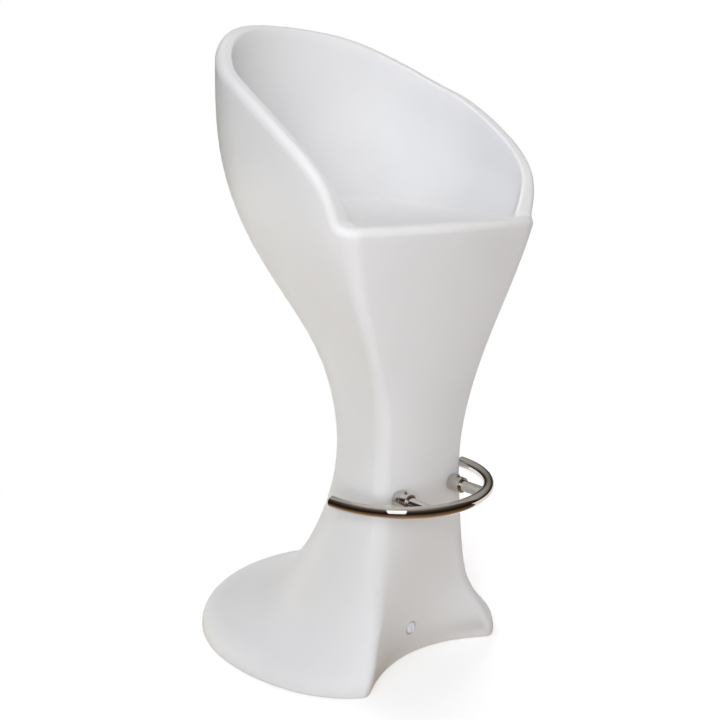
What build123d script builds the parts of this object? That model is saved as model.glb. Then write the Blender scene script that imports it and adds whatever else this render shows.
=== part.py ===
"""Light-up bar stool: a hollow moulded body with a bucket seat, a chromed half-ring
footrest, a lamp module in the base and a charging socket in the front panel.
Millimetres, +Z up, front towards -Y, floor at Z = 0, the body alike left and right."""
from build123d import *
from math import cos, radians, sin
import os

# Overall sizes of the moulded body
overall_height = 1065.0
seat_height = 743.0
waist_height = 345.0
wall = 4.0
rim_width = 26.0
corner_radius = 16.0

# Plan sizes at the floor, the waist and the widest part of the bucket.
# Half widths are measured from the centre, front and back are places along Y.
floor_half_width = 258.0
floor_front_half_width = 148.0
floor_front = -215.0
floor_back = 285.0
floor_bow = -52.0
toe_radius = 11.0
waist_half_width = 99.0
waist_front_half_width = 92.0
waist_front = -183.5
waist_back = -21.5
waist_bow = 10.5
bucket_half_width = 257.0
bucket_front_half_width = 218.5
bucket_front = -243.0
bucket_back = 159.0
bucket_bow = 17.0

# How the plan sizes pass from the waist (0) to the floor (1): height, front half
# width, half width, back, front, bow
skirt_shares = [
    (0.000, 1.00, 1.000, 1.000, 1.00, 1.00),
    (0.083, 0.87, 0.868, 0.949, 1.07, 0.88),
    (0.152, 0.73, 0.633, 0.762, 0.90, 0.72),
    (0.234, 0.51, 0.439, 0.570, 0.59, 0.53),
    (0.331, 0.24, 0.333, 0.404, 0.25, 0.34),
    (0.441, 0.10, 0.284, 0.269, 0.07, 0.21),
    (0.579, 0.02, 0.205, 0.153, 0.00, 0.10),
    (0.771, 0.00, 0.078, 0.061, 0.00, 0.03),
    (1.000, 0.00, 0.000, 0.000, 0.00, 0.00),
]
# The same from the waist (0) to the bucket (1)
bucket_shares = [
    (0.129, 0.07, 0.020, 0.034, 0.14, 0.30),
    (0.261, 0.31, 0.160, 0.221, 0.32, 0.45),
    (0.407, 0.64, 0.502, 0.560, 0.59, 0.60),
    (0.553, 0.88, 0.855, 0.801, 0.86, 0.90),
    (0.711, 1.00, 1.000, 1.000, 1.00, 1.00),
    (0.844, 1.03, 0.965, 1.106, 1.05, 1.00),
    (0.957, 1.04, 0.922, 1.144, 1.05, 1.00),
    (1.057, 1.03, 0.878, 1.147, 1.02, 1.00),
]
# Shape of one plan section
widest_share = 0.475
bow_handle_share = 4 / 3
corner_handle_share = 0.6
side_out_share = 0.80
side_front_share = 0.244
side_back_share = 0.294
round_handle_share = 0.5523

# Seat bowl and rim
lip_rise = 7.0
lip_width = 20.0
pan_low = -190.0
pan_radius = 1460.0
bowl_under = 12.0
bowl_bow = 5.0
bowl_corner_radius = 30.0
bowl_fillet = 12.0
rim_outer_fillet = 12.0
rim_inner_fillet = 4.0
rim_start = -190.0
rim_corner_start = -218.0
rim_back = 158.0
rim_shares = [(0, 0), (0.042, 0.19), (0.18, 0.36), (0.52, 0.63), (0.9, 0.905)]
rim_slope = 0.69
rim_crest_share = 1.09
rim_foot_radius = 12.0
rim_solid = 16.0
rim_solid_back = 6.0
outside = 100.0

# Small shares and edges
head_chamfer_share = 0.25
rib_corner_share = 0.4
collar_chamfer = 1.0
grub_chamfer = 0.4
cap_chamfer = 0.6
bezel_chamfer = 0.5
led_well_radius = 1.9
led_well_depth = 0.5

# Clearances
fit_gap = 0.05
running_gap = 0.25

# Underside of the body and the lamp opening
pocket_depth = 14.0
foot_width = 30.0
foot_corner_radius = 20.0
foot_fillet = 3.0
lamp_y = -10.0
opening_radius = 66.0
lamp_screw_circle = 150.0
lamp_screw_count = 6
lamp_boss_radius = 7.0
lamp_boss_rise = 8.0

# Lamp module: tray, gasket, screws and inserts
gasket_thickness = 1.5
gasket_inner_radius = 67.5
gasket_outer_radius = 82.5
tray_radius = 84.0
tray_floor = 3.0
tray_wall_radius = 62.0
tray_wall = 2.5
tray_height = 58.0
lamp_screw_radius = 1.95
lamp_screw_head_radius = 3.6
lamp_screw_head_height = 2.2
lamp_screw_length = 14.0
lamp_screw_hole_radius = 2.2
lamp_socket_radius = 1.4
lamp_socket_depth = 1.3
lamp_insert_radius = 3.5
lamp_insert_length = 10.0
lamp_insert_bore_radius = 2.0
insert_tip_room = 1.0

# Lamp module: board, lights and lens
board_thickness = 1.6
led_board_radius = 56.5
led_board_drop = 2.4
led_size = 5.0
led_height = 1.4
led_circles = ((42.0, 8), (21.0, 4))
receiver_width = 6.0
receiver_depth = 5.0
receiver_height = 7.0
receiver_eye_radius = 2.0
post_radius = 4.0
post_circle = 98.0
post_count = 4
post_turn = 45
board_screw_radius = 1.2
board_screw_hole_radius = 1.5
board_screw_head_radius = 2.4
board_screw_head_height = 1.3
board_screw_length = 8.0
board_socket_radius = 0.9
board_socket_depth = 0.8
lens_wall = 2.0
lens_rise = 36.0
lens_step = 3.0
lens_spigot_depth = 2.0
lens_spigot_wall = 1.6

# Battery cells in their cradle
cell_radius = 9.2
cell_length = 65.0
cell_nub_radius = 2.8
cell_nub_length = 1.0
cell_gap = 2.0
cell_offset = -8.0
cradle_floor = 1.5
cradle_end = 2.0
cradle_side = 2.0
cradle_height = 10.0
contact_thickness = 0.6
contact_width = 30.0
contact_height = 24.0
contact_lift = 3.0

# Control board with its switch, and the power button in the tray's floor
control_offset = 42.0
control_width = 44.0
control_depth = 18.0
control_post_radius = 2.5
control_post_inset = 3.0
control_screw_length = 6.0
button_radius = 6.0
button_fillet = 0.5
button_proud = 1.2
button_collar_radius = 7.5
button_collar = 1.5
button_travel = 0.8
button_stem_radius = 3.0
button_stem = 2.0
switch_size = 6.2
switch_height = 4.3
plunger_radius = 1.6
plunger_out = 1.0
plunger_inside = 1.4
chip_sizes = ((8.0, 5.0, 1.6), (5.0, 5.0, 3.0))
chip_x = 11.0
chip_offset = -2.0
connector_width = 8.0
connector_depth = 5.0
connector_height = 4.0
connector_offset = 6.0

# Charging socket in the front panel
charge_x = -17.0
charge_height = 60.0
charge_face_drop = 4.0
charge_boss_radius = 17.0
charge_boss_depth = 8.0
bezel_radius = 12.5
bezel_thickness = 1.6
bezel_barrel_radius = 7.5
bezel_barrel_length = 12.5
bezel_mouth_radius = 3.4
charge_nut_radius = 11.0
charge_nut_thickness = 3.0
jack_radius = 5.2
jack_length = 17.0
jack_bore_radius = 2.9
jack_bore_depth = 10.0
jack_pin_radius = 1.0
jack_pin_length = 7.0
plug_cap_radius = 9.5
plug_cap_thickness = 2.4
plug_cap_fillet = 0.9
plug_stem_radius = 2.6
plug_stem_length = 8.0
plug_stem_bore_radius = 1.3
plug_stem_bore_depth = 5.0
plug_rib_length = 12.0
plug_rib_width = 3.2
plug_rib_height = 3.2
plug_rib_spacing = 6.6
plug_rib_turn = -20
plug_rib_fillet = 1.2

# Leads inside the body
lead_radius = 1.8
lead_bend = 9.0
lead_down_run = 18.0
lead_loop_width = 34.0
lead_loop_height = 30.0
lead_wall_height = 38.0
grommet_hole_radius = 4.0
grommet_flange_radius = 5.4
grommet_flange = 1.2
grommet_gap = 0.3
thin_lead_radius = 0.9
thin_lead_bend = 3.0
led_lead_x = 18.0
led_lead_swing = 8.0
led_lead_offset = 4.0
cell_lead_x = 8.0
cell_lead_rise = 8.0
cell_lead_offset = 4.0

# Footrest
ring_height = 306.0
ring_centre_y = -125.6
ring_radius = 150.0
ring_sweep = 176
ring_tube_radius = 9.6
ring_tube_wall = 1.5
cap_thickness = 1.6
cap_spigot_length = 8.0
cap_spigot_gap = 0.4
leg_x = 61.0
leg_radius = 9.2
leg_wall = 1.5
leg_head_room = 1.0
collar_face_y = -184.0
collar_radius = 13.2
collar_length = 32.0
collar_floor = 5.0
collar_gap = 0.1
grub_offset = 20.0
grub_radius = 3.0
grub_proud = 2.4
grub_socket_radius = 1.7
grub_socket_depth = 2.4
leg_bolt_radius = 3.9
leg_bolt_hole_radius = 4.2
leg_bolt_head_radius = 6.5
leg_bolt_head_height = 8.0
leg_bolt_length = 22.0
leg_bolt_socket_radius = 3.4
leg_bolt_socket_depth = 4.0
leg_insert_radius = 7.0
leg_insert_bore_radius = 4.0
leg_insert_length = 18.0
leg_boss_radius = 15.0
leg_boss_depth = 26.0


def blend(start, end, share):
    return start + (end - start) * share


def stations():
    """Plan sizes of the body, from the floor up: height, front half width, half
    width, back, front, bow and corner radius."""
    rows = []
    for height, front_half, half, back, front, bow in skirt_shares:
        rows.append((
            waist_height * height,
            blend(waist_front_half_width, floor_front_half_width, front_half),
            blend(waist_half_width, floor_half_width, half),
            blend(waist_back, floor_back, back),
            blend(waist_front, floor_front, front),
            blend(waist_bow, floor_bow, bow),
            blend(corner_radius, toe_radius, front_half),
        ))
    for height, front_half, half, back, front, bow in bucket_shares:
        rows.append((
            blend(waist_height, overall_height, height),
            blend(waist_front_half_width, bucket_front_half_width, front_half),
            blend(waist_half_width, bucket_half_width, half),
            blend(waist_back, bucket_back, back),
            blend(waist_front, bucket_front, front),
            blend(waist_bow, bucket_bow, bow),
            corner_radius,
        ))
    return rows


def sizes_at(height):
    """The plan sizes at any height, in a straight line between two stations."""
    rows = stations()
    for low, high in zip(rows[:-1], rows[1:]):
        if height <= high[0]:
            share = (height - low[0]) / (high[0] - low[0])
            return tuple(blend(a, b, share) for a, b in zip(low, high))
    return rows[-1]


def section(sizes, inset, front_inset, height, bow=None, radius=None):
    """One closed plan section: a bowed front, two rounded corners, and sides that
    swell to the widest place and close in a half round at the back."""
    _, front_half, half, back, front, own_bow, own_radius = sizes
    front_half -= inset
    half -= inset
    back -= inset
    front += front_inset
    bow = own_bow if bow is None else bow
    radius = own_radius if radius is None else radius
    widest = blend(front, back, widest_share)
    corner = Vector(front_half, front, height)
    bow_handle = Vector(front_half / 3, front - bow * bow_handle_share, height)
    side_near = Vector(
        blend(front_half, half, side_out_share), blend(front, widest, side_front_share), height
    )
    side_far = Vector(half, blend(widest, front, side_back_share), height)
    side = Vector(half, widest, height)
    front_end = corner + (bow_handle - corner).normalized() * radius
    side_start = corner + (side_near - corner).normalized() * radius
    back_near = Vector(half, blend(widest, back, round_handle_share), height)
    back_far = Vector(half * round_handle_share, back, height)
    back_mid = Vector(0, back, height)
    right = [
        (
            front_end,
            front_end + (corner - front_end) * corner_handle_share,
            side_start + (corner - side_start) * corner_handle_share,
            side_start,
        ),
        (side_start, side_near, side_far, side),
        (side, back_near, back_far, back_mid),
    ]

    def other_side(point):
        return Vector(-point.X, point.Y, point.Z)

    left = [tuple(other_side(point) for point in reversed(curve)) for curve in reversed(right)]
    front_curve = (other_side(front_end), other_side(bow_handle), bow_handle, front_end)
    curves = [front_curve] + right + left
    return Face(Wire([Bezier(*curve, mode=Mode.PRIVATE) for curve in curves]))


def front_y(x, height):
    """The front panel's place along Y, at a distance x from the middle."""
    _, front_half, _, _, front, bow, _ = sizes_at(height)
    return front - bow * (1 - (x / front_half) ** 2)


def rim_profile(x, start):
    """Everything above and in front of the rim, seen from the side."""
    points = [
        (blend(start, rim_back, along), blend(seat_height, overall_height, up))
        for along, up in rim_shares
    ]
    with BuildSketch(Plane.YZ.offset(x)) as profile:
        with BuildLine():
            rim = Spline(*points, tangents=[(0, 1), (1, rim_slope)])
            crest_end = (blend(start, rim_back, rim_crest_share), overall_height)
            crest = TangentArc(rim @ 1, crest_end, tangent=rim % 1)
            ceiling_height = overall_height + outside
            Polyline(
                crest @ 1,
                (floor_back + outside, overall_height),
                (floor_back + outside, ceiling_height),
                (floor_front - outside, ceiling_height),
                (floor_front - outside, seat_height),
                rim @ 0,
            )
        make_face()
        fillet(profile.vertices().group_by(Axis.Y)[0].sort_by(Axis.X)[-1], rim_foot_radius)
    return profile.sketch.faces()[0]


def seam(edges, first, second):
    """The edges that lie on both of two surfaces."""
    return [
        edge
        for edge in edges
        if first.distance_to(edge @ 0.5) < fit_gap and second.distance_to(edge @ 0.5) < fit_gap
    ]


def around_lamp(radius, count, height, turn=0):
    """Evenly spaced places on a circle about the lamp's upright axis."""
    angles = [radians(turn + 360 / count * step) for step in range(count)]
    return [(radius * cos(angle), lamp_y + radius * sin(angle), height) for angle in angles]


def facing_back(x, y, z):
    """A place whose own +Z points towards the back of the stool."""
    return Location((x, y, z), (-90, 0, 0))


def facing_front(x, y, z):
    """A place whose own +Z points towards the front, with its own +Y upwards."""
    return Location((x, y, z), (90, 0, 0))


def round_bar(radius, length):
    """A round bar that stands on Z = 0."""
    with BuildPart() as bar:
        with BuildSketch():
            Circle(radius)
        extrude(amount=length)
    return bar.part


def sleeve(outer_radius, inner_radius, length):
    """A round tube that stands on Z = 0."""
    with BuildPart() as tube:
        with BuildSketch():
            Circle(outer_radius)
            Circle(inner_radius, mode=Mode.SUBTRACT)
        extrude(amount=length)
    return tube.part


def cap_screw(head_radius, head_height, radius, length, socket_radius, socket_depth):
    """A screw that points along +Z, with the underside of its head at Z = 0."""
    with BuildPart() as screw:
        with BuildSketch():
            Circle(head_radius)
        extrude(amount=-head_height)
        chamfer(screw.faces().sort_by(Axis.Z)[0].edges(), head_height * head_chamfer_share)
        with BuildSketch():
            Circle(radius)
        extrude(amount=length)
        with BuildSketch(Plane.XY.offset(-head_height)):
            RegularPolygon(socket_radius, 6)
        extrude(amount=socket_depth, mode=Mode.SUBTRACT)
    return screw.part


def cord(points, bend, radius):
    """A round lead along straight runs with arcs between them."""
    with BuildPart() as lead:
        with BuildLine() as route:
            FilletPolyline(*points, radius=bend)
        with BuildSketch(Plane(origin=route.wire() @ 0, z_dir=route.wire() % 0)):
            Circle(radius)
        sweep()
    print("lead radius", radius, "bend", bend, "length", round(route.wire().length, 1))
    return lead.part


# Heights and places that several pieces share
cavity_floor = pocket_depth + wall
tray_inside = pocket_depth - gasket_thickness
tray_bottom = tray_inside - tray_floor
tray_top = tray_inside + tray_height
led_board_bottom = tray_top - led_board_drop - board_thickness
led_board_top = led_board_bottom + board_thickness
button_y = lamp_y + control_offset
plunger_bottom = tray_inside + button_collar + button_stem
switch_bottom = plunger_bottom + plunger_out
control_bottom = switch_bottom + switch_height
control_top = control_bottom + board_thickness
cell_y = lamp_y + cell_offset
cell_z = tray_inside + cradle_floor + cell_radius
charge_y = front_y(charge_x, charge_height) + charge_face_drop
jack_back = charge_y + jack_length
insert_room = lamp_insert_length + insert_tip_room
leg_places = [(-leg_x, collar_face_y, ring_height), (leg_x, collar_face_y, ring_height)]
lamp_screw_places = around_lamp(lamp_screw_circle / 2, lamp_screw_count, pocket_depth)
post_places = around_lamp(post_circle / 2, post_count, tray_inside, post_turn)
control_post_x = control_width / 2 - control_post_inset
control_places = [(-control_post_x, button_y, tray_inside), (control_post_x, button_y, tray_inside)]

# Moulded body: outer form from the floor to above the rim
body_rows = stations()
outer_sections = [section(row, 0, 0, row[0]) for row in body_rows]
with BuildPart() as outer_form:
    loft(outer_sections)
    fillet(outer_form.faces().sort_by(Axis.Z)[0].edges(), foot_fillet)

# The seat bowl, whose pan curves up towards the back, and the same form one wall larger
pan_height = seat_height - lip_rise
bowl_rows = [sizes_at(pan_height - bowl_under)]
bowl_rows += [row for row in body_rows if row[0] > seat_height + bowl_under]


def bowl_form(skin):
    heights = [pan_height - bowl_under - skin] + [row[0] for row in bowl_rows[1:]]
    faces = [
        section(row, rim_width - skin, lip_width - skin, height, bowl_bow, bowl_corner_radius)
        for row, height in zip(bowl_rows, heights)
    ]
    with BuildPart() as form:
        loft(faces)
        with BuildSketch(Plane.YZ):
            with Locations((pan_low, pan_height - skin + pan_radius)):
                Circle(pan_radius)
        extrude(amount=bucket_half_width, both=True, mode=Mode.INTERSECT)
        fillet(form.faces().sort_by(Axis.Z)[0].edges(), bowl_fillet)
    return form.part


bowl = bowl_form(0)
bowl_skin = bowl_form(wall)

# The cut above the rim sweeps forward at the two front corners
half_span = bucket_half_width + outside
corner_run = (half_span / bucket_front_half_width) ** 2
wide_start = blend(rim_start, rim_corner_start, corner_run)
rim_faces = [
    rim_profile(-half_span, wide_start),
    rim_profile(0, rim_start),
    rim_profile(half_span, wide_start),
]
with BuildPart() as rim_cut:
    loft(rim_faces)

# The hollow inside, one wall in from every face, less the bosses that stand in it
cavity_sections = [section(sizes_at(cavity_floor + wall), wall, wall, cavity_floor)]
for row in body_rows:
    shift = -wall if row[0] < waist_height else wall
    if row[0] + shift > cavity_floor + wall:
        cavity_sections.append(section(row, wall, wall, row[0] + shift))
lamp_boss = round_bar(lamp_boss_radius, wall + lamp_boss_rise)
leg_boss = round_bar(leg_boss_radius, leg_boss_depth * 2)
charge_boss = round_bar(charge_boss_radius, charge_boss_depth * 2)
with BuildPart() as cavity:
    loft(cavity_sections)
    add(bowl_skin, mode=Mode.SUBTRACT)
    with Locations((0, rim_solid_back, -rim_solid)):
        add(rim_cut.part, mode=Mode.SUBTRACT)
    with Locations(*lamp_screw_places):
        add(lamp_boss, mode=Mode.SUBTRACT)
    with Locations(*[facing_back(x, y - leg_boss_depth, z) for x, y, z in leg_places]):
        add(leg_boss, mode=Mode.SUBTRACT)
    with Locations(facing_back(charge_x, charge_y - charge_boss_depth, charge_height)):
        add(charge_boss, mode=Mode.SUBTRACT)

pocket_face = section(sizes_at(0), foot_width, foot_width, 0, radius=foot_corner_radius)
outer_surface = outer_form.part.shells()[0]
bowl_surface = bowl.shells()[0]
cut_surface = rim_cut.part.shells()[0]
lamp_opening = round_bar(opening_radius, wall)
lamp_insert_hole = round_bar(lamp_insert_radius + fit_gap, insert_room)
collar_recess = round_bar(collar_radius + fit_gap, collar_length)
leg_insert_hole = round_bar(leg_insert_radius + fit_gap, leg_insert_length + insert_tip_room)
bezel_recess = round_bar(bezel_radius + fit_gap, bezel_radius)
barrel_hole = round_bar(bezel_barrel_radius + fit_gap, charge_boss_depth)
with BuildPart() as shell:
    add(outer_form.part)
    add(bowl, mode=Mode.SUBTRACT)
    add(rim_cut.part, mode=Mode.SUBTRACT)
    fillet(seam(shell.edges(), cut_surface, outer_surface), rim_outer_fillet)
    fillet(seam(shell.edges(), cut_surface, bowl_surface), rim_inner_fillet)
    add(cavity.part, mode=Mode.SUBTRACT)
    extrude(pocket_face, amount=pocket_depth, mode=Mode.SUBTRACT)
    with Locations((0, lamp_y, pocket_depth)):
        add(lamp_opening, mode=Mode.SUBTRACT)
    with Locations(*lamp_screw_places):
        add(lamp_insert_hole, mode=Mode.SUBTRACT)
    with Locations(*[facing_front(*place) for place in leg_places]):
        add(collar_recess, mode=Mode.SUBTRACT)
    with Locations(*[facing_back(*place) for place in leg_places]):
        add(leg_insert_hole, mode=Mode.SUBTRACT)
    with Locations(facing_front(charge_x, charge_y, charge_height)):
        add(bezel_recess, mode=Mode.SUBTRACT)
    with Locations(facing_back(charge_x, charge_y, charge_height)):
        add(barrel_hole, mode=Mode.SUBTRACT)
shell.part.label = "shell"

# Footrest: a half ring on two legs, each held in a collar by a screw from above
ring_start = radians(-90 - ring_sweep / 2)
ring_plane = Plane(
    origin=(0, ring_centre_y, ring_height),
    x_dir=(cos(ring_start), sin(ring_start), 0),
    z_dir=(sin(ring_start), -cos(ring_start), 0),
)
ring_axis = Axis((0, ring_centre_y, ring_height), (0, 0, 1))


def ring_form(radius):
    with BuildPart() as form:
        with BuildSketch(ring_plane):
            with Locations((ring_radius, 0)):
                Circle(radius)
        revolve(axis=ring_axis, revolution_arc=ring_sweep)
    return form.part


ring_solid = ring_form(ring_tube_radius)
ring_bore_radius = ring_tube_radius - ring_tube_wall
with BuildPart() as footrest_ring:
    add(ring_solid)
    add(ring_form(ring_bore_radius), mode=Mode.SUBTRACT)
footrest_ring.part.label = "footrest_ring"

with BuildPart() as ring_end_caps:
    with BuildSketch(ring_plane):
        with Locations((ring_radius, 0)):
            Circle(ring_tube_radius)
    extrude(amount=cap_thickness)
    chamfer(ring_end_caps.faces().sort_by(Axis.Y)[-1].edges(), cap_chamfer)
    with BuildSketch(ring_plane):
        with Locations((ring_radius, 0)):
            Circle(ring_bore_radius - cap_spigot_gap)
    extrude(amount=-cap_spigot_length)
    mirror(about=Plane.YZ)
ring_end_caps.part.label = "ring_end_caps"

leg_start_y = collar_face_y - collar_floor - leg_bolt_head_height - leg_head_room
leg_end_y = ring_centre_y - (ring_radius**2 - leg_x**2) ** 0.5
leg_length = leg_start_y - leg_end_y


def leg(x):
    with BuildPart() as tube:
        with Locations(facing_front(x, leg_start_y, ring_height)):
            add(sleeve(leg_radius, leg_radius - leg_wall, leg_length))
        add(ring_solid, mode=Mode.SUBTRACT)
    return tube.part


def collar(x):
    bore_radius = leg_radius + collar_gap
    with BuildPart() as post:
        with BuildSketch(Plane((x, collar_face_y, ring_height), x_dir=(1, 0, 0), z_dir=(0, -1, 0))):
            Circle(collar_radius)
        extrude(amount=collar_length)
        chamfer(post.faces().sort_by(Axis.Y)[0].edges(), collar_chamfer)
        with Locations(facing_front(x, collar_face_y - collar_floor, ring_height)):
            add(round_bar(bore_radius, collar_length), mode=Mode.SUBTRACT)
        with Locations(facing_front(x, collar_face_y, ring_height)):
            add(round_bar(leg_bolt_hole_radius, collar_floor), mode=Mode.SUBTRACT)
        with Locations((x, collar_face_y - grub_offset, ring_height)):
            add(round_bar(grub_radius + fit_gap, collar_radius), mode=Mode.SUBTRACT)
    return post.part


with BuildPart() as footrest_leg_left:
    add(leg(-leg_x))
footrest_leg_left.part.label = "footrest_leg_left"

with BuildPart() as footrest_leg_right:
    add(leg(leg_x))
footrest_leg_right.part.label = "footrest_leg_right"

with BuildPart() as leg_collar_left:
    add(collar(-leg_x))
leg_collar_left.part.label = "leg_collar_left"

with BuildPart() as leg_collar_right:
    add(collar(leg_x))
leg_collar_right.part.label = "leg_collar_right"

leg_bolt = cap_screw(
    leg_bolt_head_radius,
    leg_bolt_head_height,
    leg_bolt_radius,
    leg_bolt_length,
    leg_bolt_socket_radius,
    leg_bolt_socket_depth,
)
with BuildPart() as leg_bolts:
    with Locations(*[facing_back(x, y - collar_floor, z) for x, y, z in leg_places]):
        add(leg_bolt)
leg_bolts.part.label = "leg_bolts"

with BuildPart() as leg_inserts:
    with Locations(*[facing_back(*place) for place in leg_places]):
        add(sleeve(leg_insert_radius, leg_insert_bore_radius, leg_insert_length))
leg_inserts.part.label = "leg_inserts"

grub_length = collar_radius - leg_radius + grub_proud
with BuildPart() as grub_screws:
    with BuildSketch(Plane.XY.offset(ring_height + leg_radius)):
        with Locations(*[(x, y - grub_offset) for x, y, _ in leg_places]):
            Circle(grub_radius)
    extrude(amount=grub_length)
    chamfer(grub_screws.faces().group_by(Axis.Z)[-1].edges(), grub_chamfer)
    with BuildSketch(Plane.XY.offset(ring_height + leg_radius + grub_length)):
        with Locations(*[(x, y - grub_offset) for x, y, _ in leg_places]):
            RegularPolygon(grub_socket_radius, 6)
    extrude(amount=-grub_socket_depth, mode=Mode.SUBTRACT)
grub_screws.part.label = "grub_screws"

# Lamp module: gasket, tray and their fixings
flange_holes = [(x, y) for x, y, _ in lamp_screw_places]
with BuildPart() as lamp_gasket:
    with BuildSketch(Plane.XY.offset(tray_inside)):
        with Locations((0, lamp_y)):
            Circle(gasket_outer_radius)
            Circle(gasket_inner_radius, mode=Mode.SUBTRACT)
        with Locations(*flange_holes):
            Circle(lamp_insert_radius, mode=Mode.SUBTRACT)
    extrude(amount=gasket_thickness)
lamp_gasket.part.label = "lamp_gasket"

lead_wall_z = tray_inside + lead_wall_height
board_pilot = round_bar(board_screw_radius + fit_gap, board_screw_length)
control_pilot = round_bar(board_screw_radius + fit_gap, control_screw_length)
with BuildPart() as lamp_tray:
    with BuildSketch(Plane.XY.offset(tray_bottom)):
        with Locations((0, lamp_y)):
            Circle(tray_radius)
        with Locations((0, button_y)):
            Circle(button_radius + running_gap, mode=Mode.SUBTRACT)
        with Locations(*flange_holes):
            Circle(lamp_screw_hole_radius, mode=Mode.SUBTRACT)
    extrude(amount=tray_floor)
    with BuildSketch(Plane.XY.offset(tray_inside)):
        with Locations((0, lamp_y)):
            Circle(tray_wall_radius)
            Circle(tray_wall_radius - tray_wall, mode=Mode.SUBTRACT)
    extrude(amount=tray_height)
    with BuildSketch(Plane.XY.offset(tray_inside)):
        with Locations(*[(x, y) for x, y, _ in post_places]):
            Circle(post_radius)
    extrude(amount=led_board_bottom - tray_inside)
    with BuildSketch(Plane.XY.offset(tray_inside)):
        with Locations(*[(x, y) for x, y, _ in control_places]):
            Circle(control_post_radius)
    extrude(amount=control_bottom - tray_inside)
    with Locations(*[(x, y, led_board_bottom - board_screw_length) for x, y, _ in post_places]):
        add(board_pilot, mode=Mode.SUBTRACT)
    with Locations(*[(x, y, control_bottom - control_screw_length) for x, y, _ in control_places]):
        add(control_pilot, mode=Mode.SUBTRACT)
    with Locations(facing_front(0, lamp_y, lead_wall_z)):
        add(round_bar(grommet_hole_radius + fit_gap, tray_radius), mode=Mode.SUBTRACT)
lamp_tray.part.label = "lamp_tray"

lamp_screw = cap_screw(
    lamp_screw_head_radius,
    lamp_screw_head_height,
    lamp_screw_radius,
    lamp_screw_length,
    lamp_socket_radius,
    lamp_socket_depth,
)
with BuildPart() as lamp_screws:
    with Locations(*[(x, y, tray_bottom) for x, y, _ in lamp_screw_places]):
        add(lamp_screw)
lamp_screws.part.label = "lamp_screws"

with BuildPart() as lamp_inserts:
    with Locations(*lamp_screw_places):
        add(sleeve(lamp_insert_radius, lamp_insert_bore_radius, lamp_insert_length))
lamp_inserts.part.label = "lamp_inserts"

# Lamp module: board with its lights, receiver and dome
with BuildPart() as led_board:
    with BuildSketch(Plane.XY.offset(led_board_bottom)):
        with Locations((0, lamp_y)):
            Circle(led_board_radius)
        with Locations(*[(x, y) for x, y, _ in post_places]):
            Circle(board_screw_hole_radius, mode=Mode.SUBTRACT)
    extrude(amount=board_thickness)
led_board.part.label = "led_board"

led_places = [
    place for radius, count in led_circles for place in around_lamp(radius, count, led_board_top)
]
with BuildPart() as led_chips:
    with BuildSketch(Plane.XY.offset(led_board_top)):
        with Locations(*[(x, y) for x, y, _ in led_places]):
            Rectangle(led_size, led_size)
    extrude(amount=led_height)
    with BuildSketch(Plane.XY.offset(led_board_top + led_height)):
        with Locations(*[(x, y) for x, y, _ in led_places]):
            Circle(led_well_radius)
    extrude(amount=-led_well_depth, mode=Mode.SUBTRACT)
led_chips.part.label = "led_chips"

with BuildPart() as infrared_receiver:
    with BuildSketch(Plane.XY.offset(led_board_top)):
        with Locations((0, lamp_y)):
            Rectangle(receiver_width, receiver_depth)
    extrude(amount=receiver_height - receiver_eye_radius)
    with Locations((0, lamp_y, led_board_top + receiver_height - receiver_eye_radius)):
        Sphere(receiver_eye_radius)
infrared_receiver.part.label = "infrared_receiver"


def dome_form(radius, rise):
    """A solid dome on a short straight step, standing on the tray's top."""
    with BuildPart() as form:
        with BuildSketch(Plane.XZ.offset(-lamp_y)):
            with Locations((0, tray_top + lens_step)):
                Ellipse(radius, rise)
                Rectangle(radius * 2, rise, align=(Align.CENTER, Align.MAX), mode=Mode.SUBTRACT)
                Rectangle(radius, rise, align=(Align.MAX, Align.MIN), mode=Mode.SUBTRACT)
        revolve(axis=Axis((0, lamp_y, 0), (0, 0, 1)))
        with BuildSketch(Plane.XY.offset(tray_top)):
            with Locations((0, lamp_y)):
                Circle(radius)
        extrude(amount=lens_step)
    return form.part


lens_top = lens_rise - lens_step
spigot_radius = tray_wall_radius - tray_wall - fit_gap
lens_inner_radius = spigot_radius - lens_spigot_wall
with BuildPart() as lamp_lens:
    add(dome_form(tray_wall_radius, lens_top))
    with BuildSketch(Plane.XY.offset(tray_top)):
        with Locations((0, lamp_y)):
            Circle(spigot_radius)
    extrude(amount=-lens_spigot_depth)
    add(dome_form(lens_inner_radius, lens_top - lens_wall), mode=Mode.SUBTRACT)
    with BuildSketch(Plane.XY.offset(tray_top)):
        with Locations((0, lamp_y)):
            Circle(lens_inner_radius)
    extrude(amount=-lens_spigot_depth, mode=Mode.SUBTRACT)
lamp_lens.part.label = "lamp_lens"

# Battery cells in a cradle, with a contact plate at each end
cell_places = [cell_y - cell_radius - cell_gap / 2, cell_y + cell_radius + cell_gap / 2]
barrel_length = cell_length - cell_nub_length
with BuildPart() as battery_cells:
    with BuildSketch(Plane.YZ.offset(-cell_length / 2)):
        with Locations(*[(y, cell_z) for y in cell_places]):
            Circle(cell_radius)
    extrude(amount=barrel_length)
    with BuildSketch(Plane.YZ.offset(barrel_length - cell_length / 2)):
        with Locations(*[(y, cell_z) for y in cell_places]):
            Circle(cell_nub_radius)
    extrude(amount=cell_nub_length)
battery_cells.part.label = "battery_cells"

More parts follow.
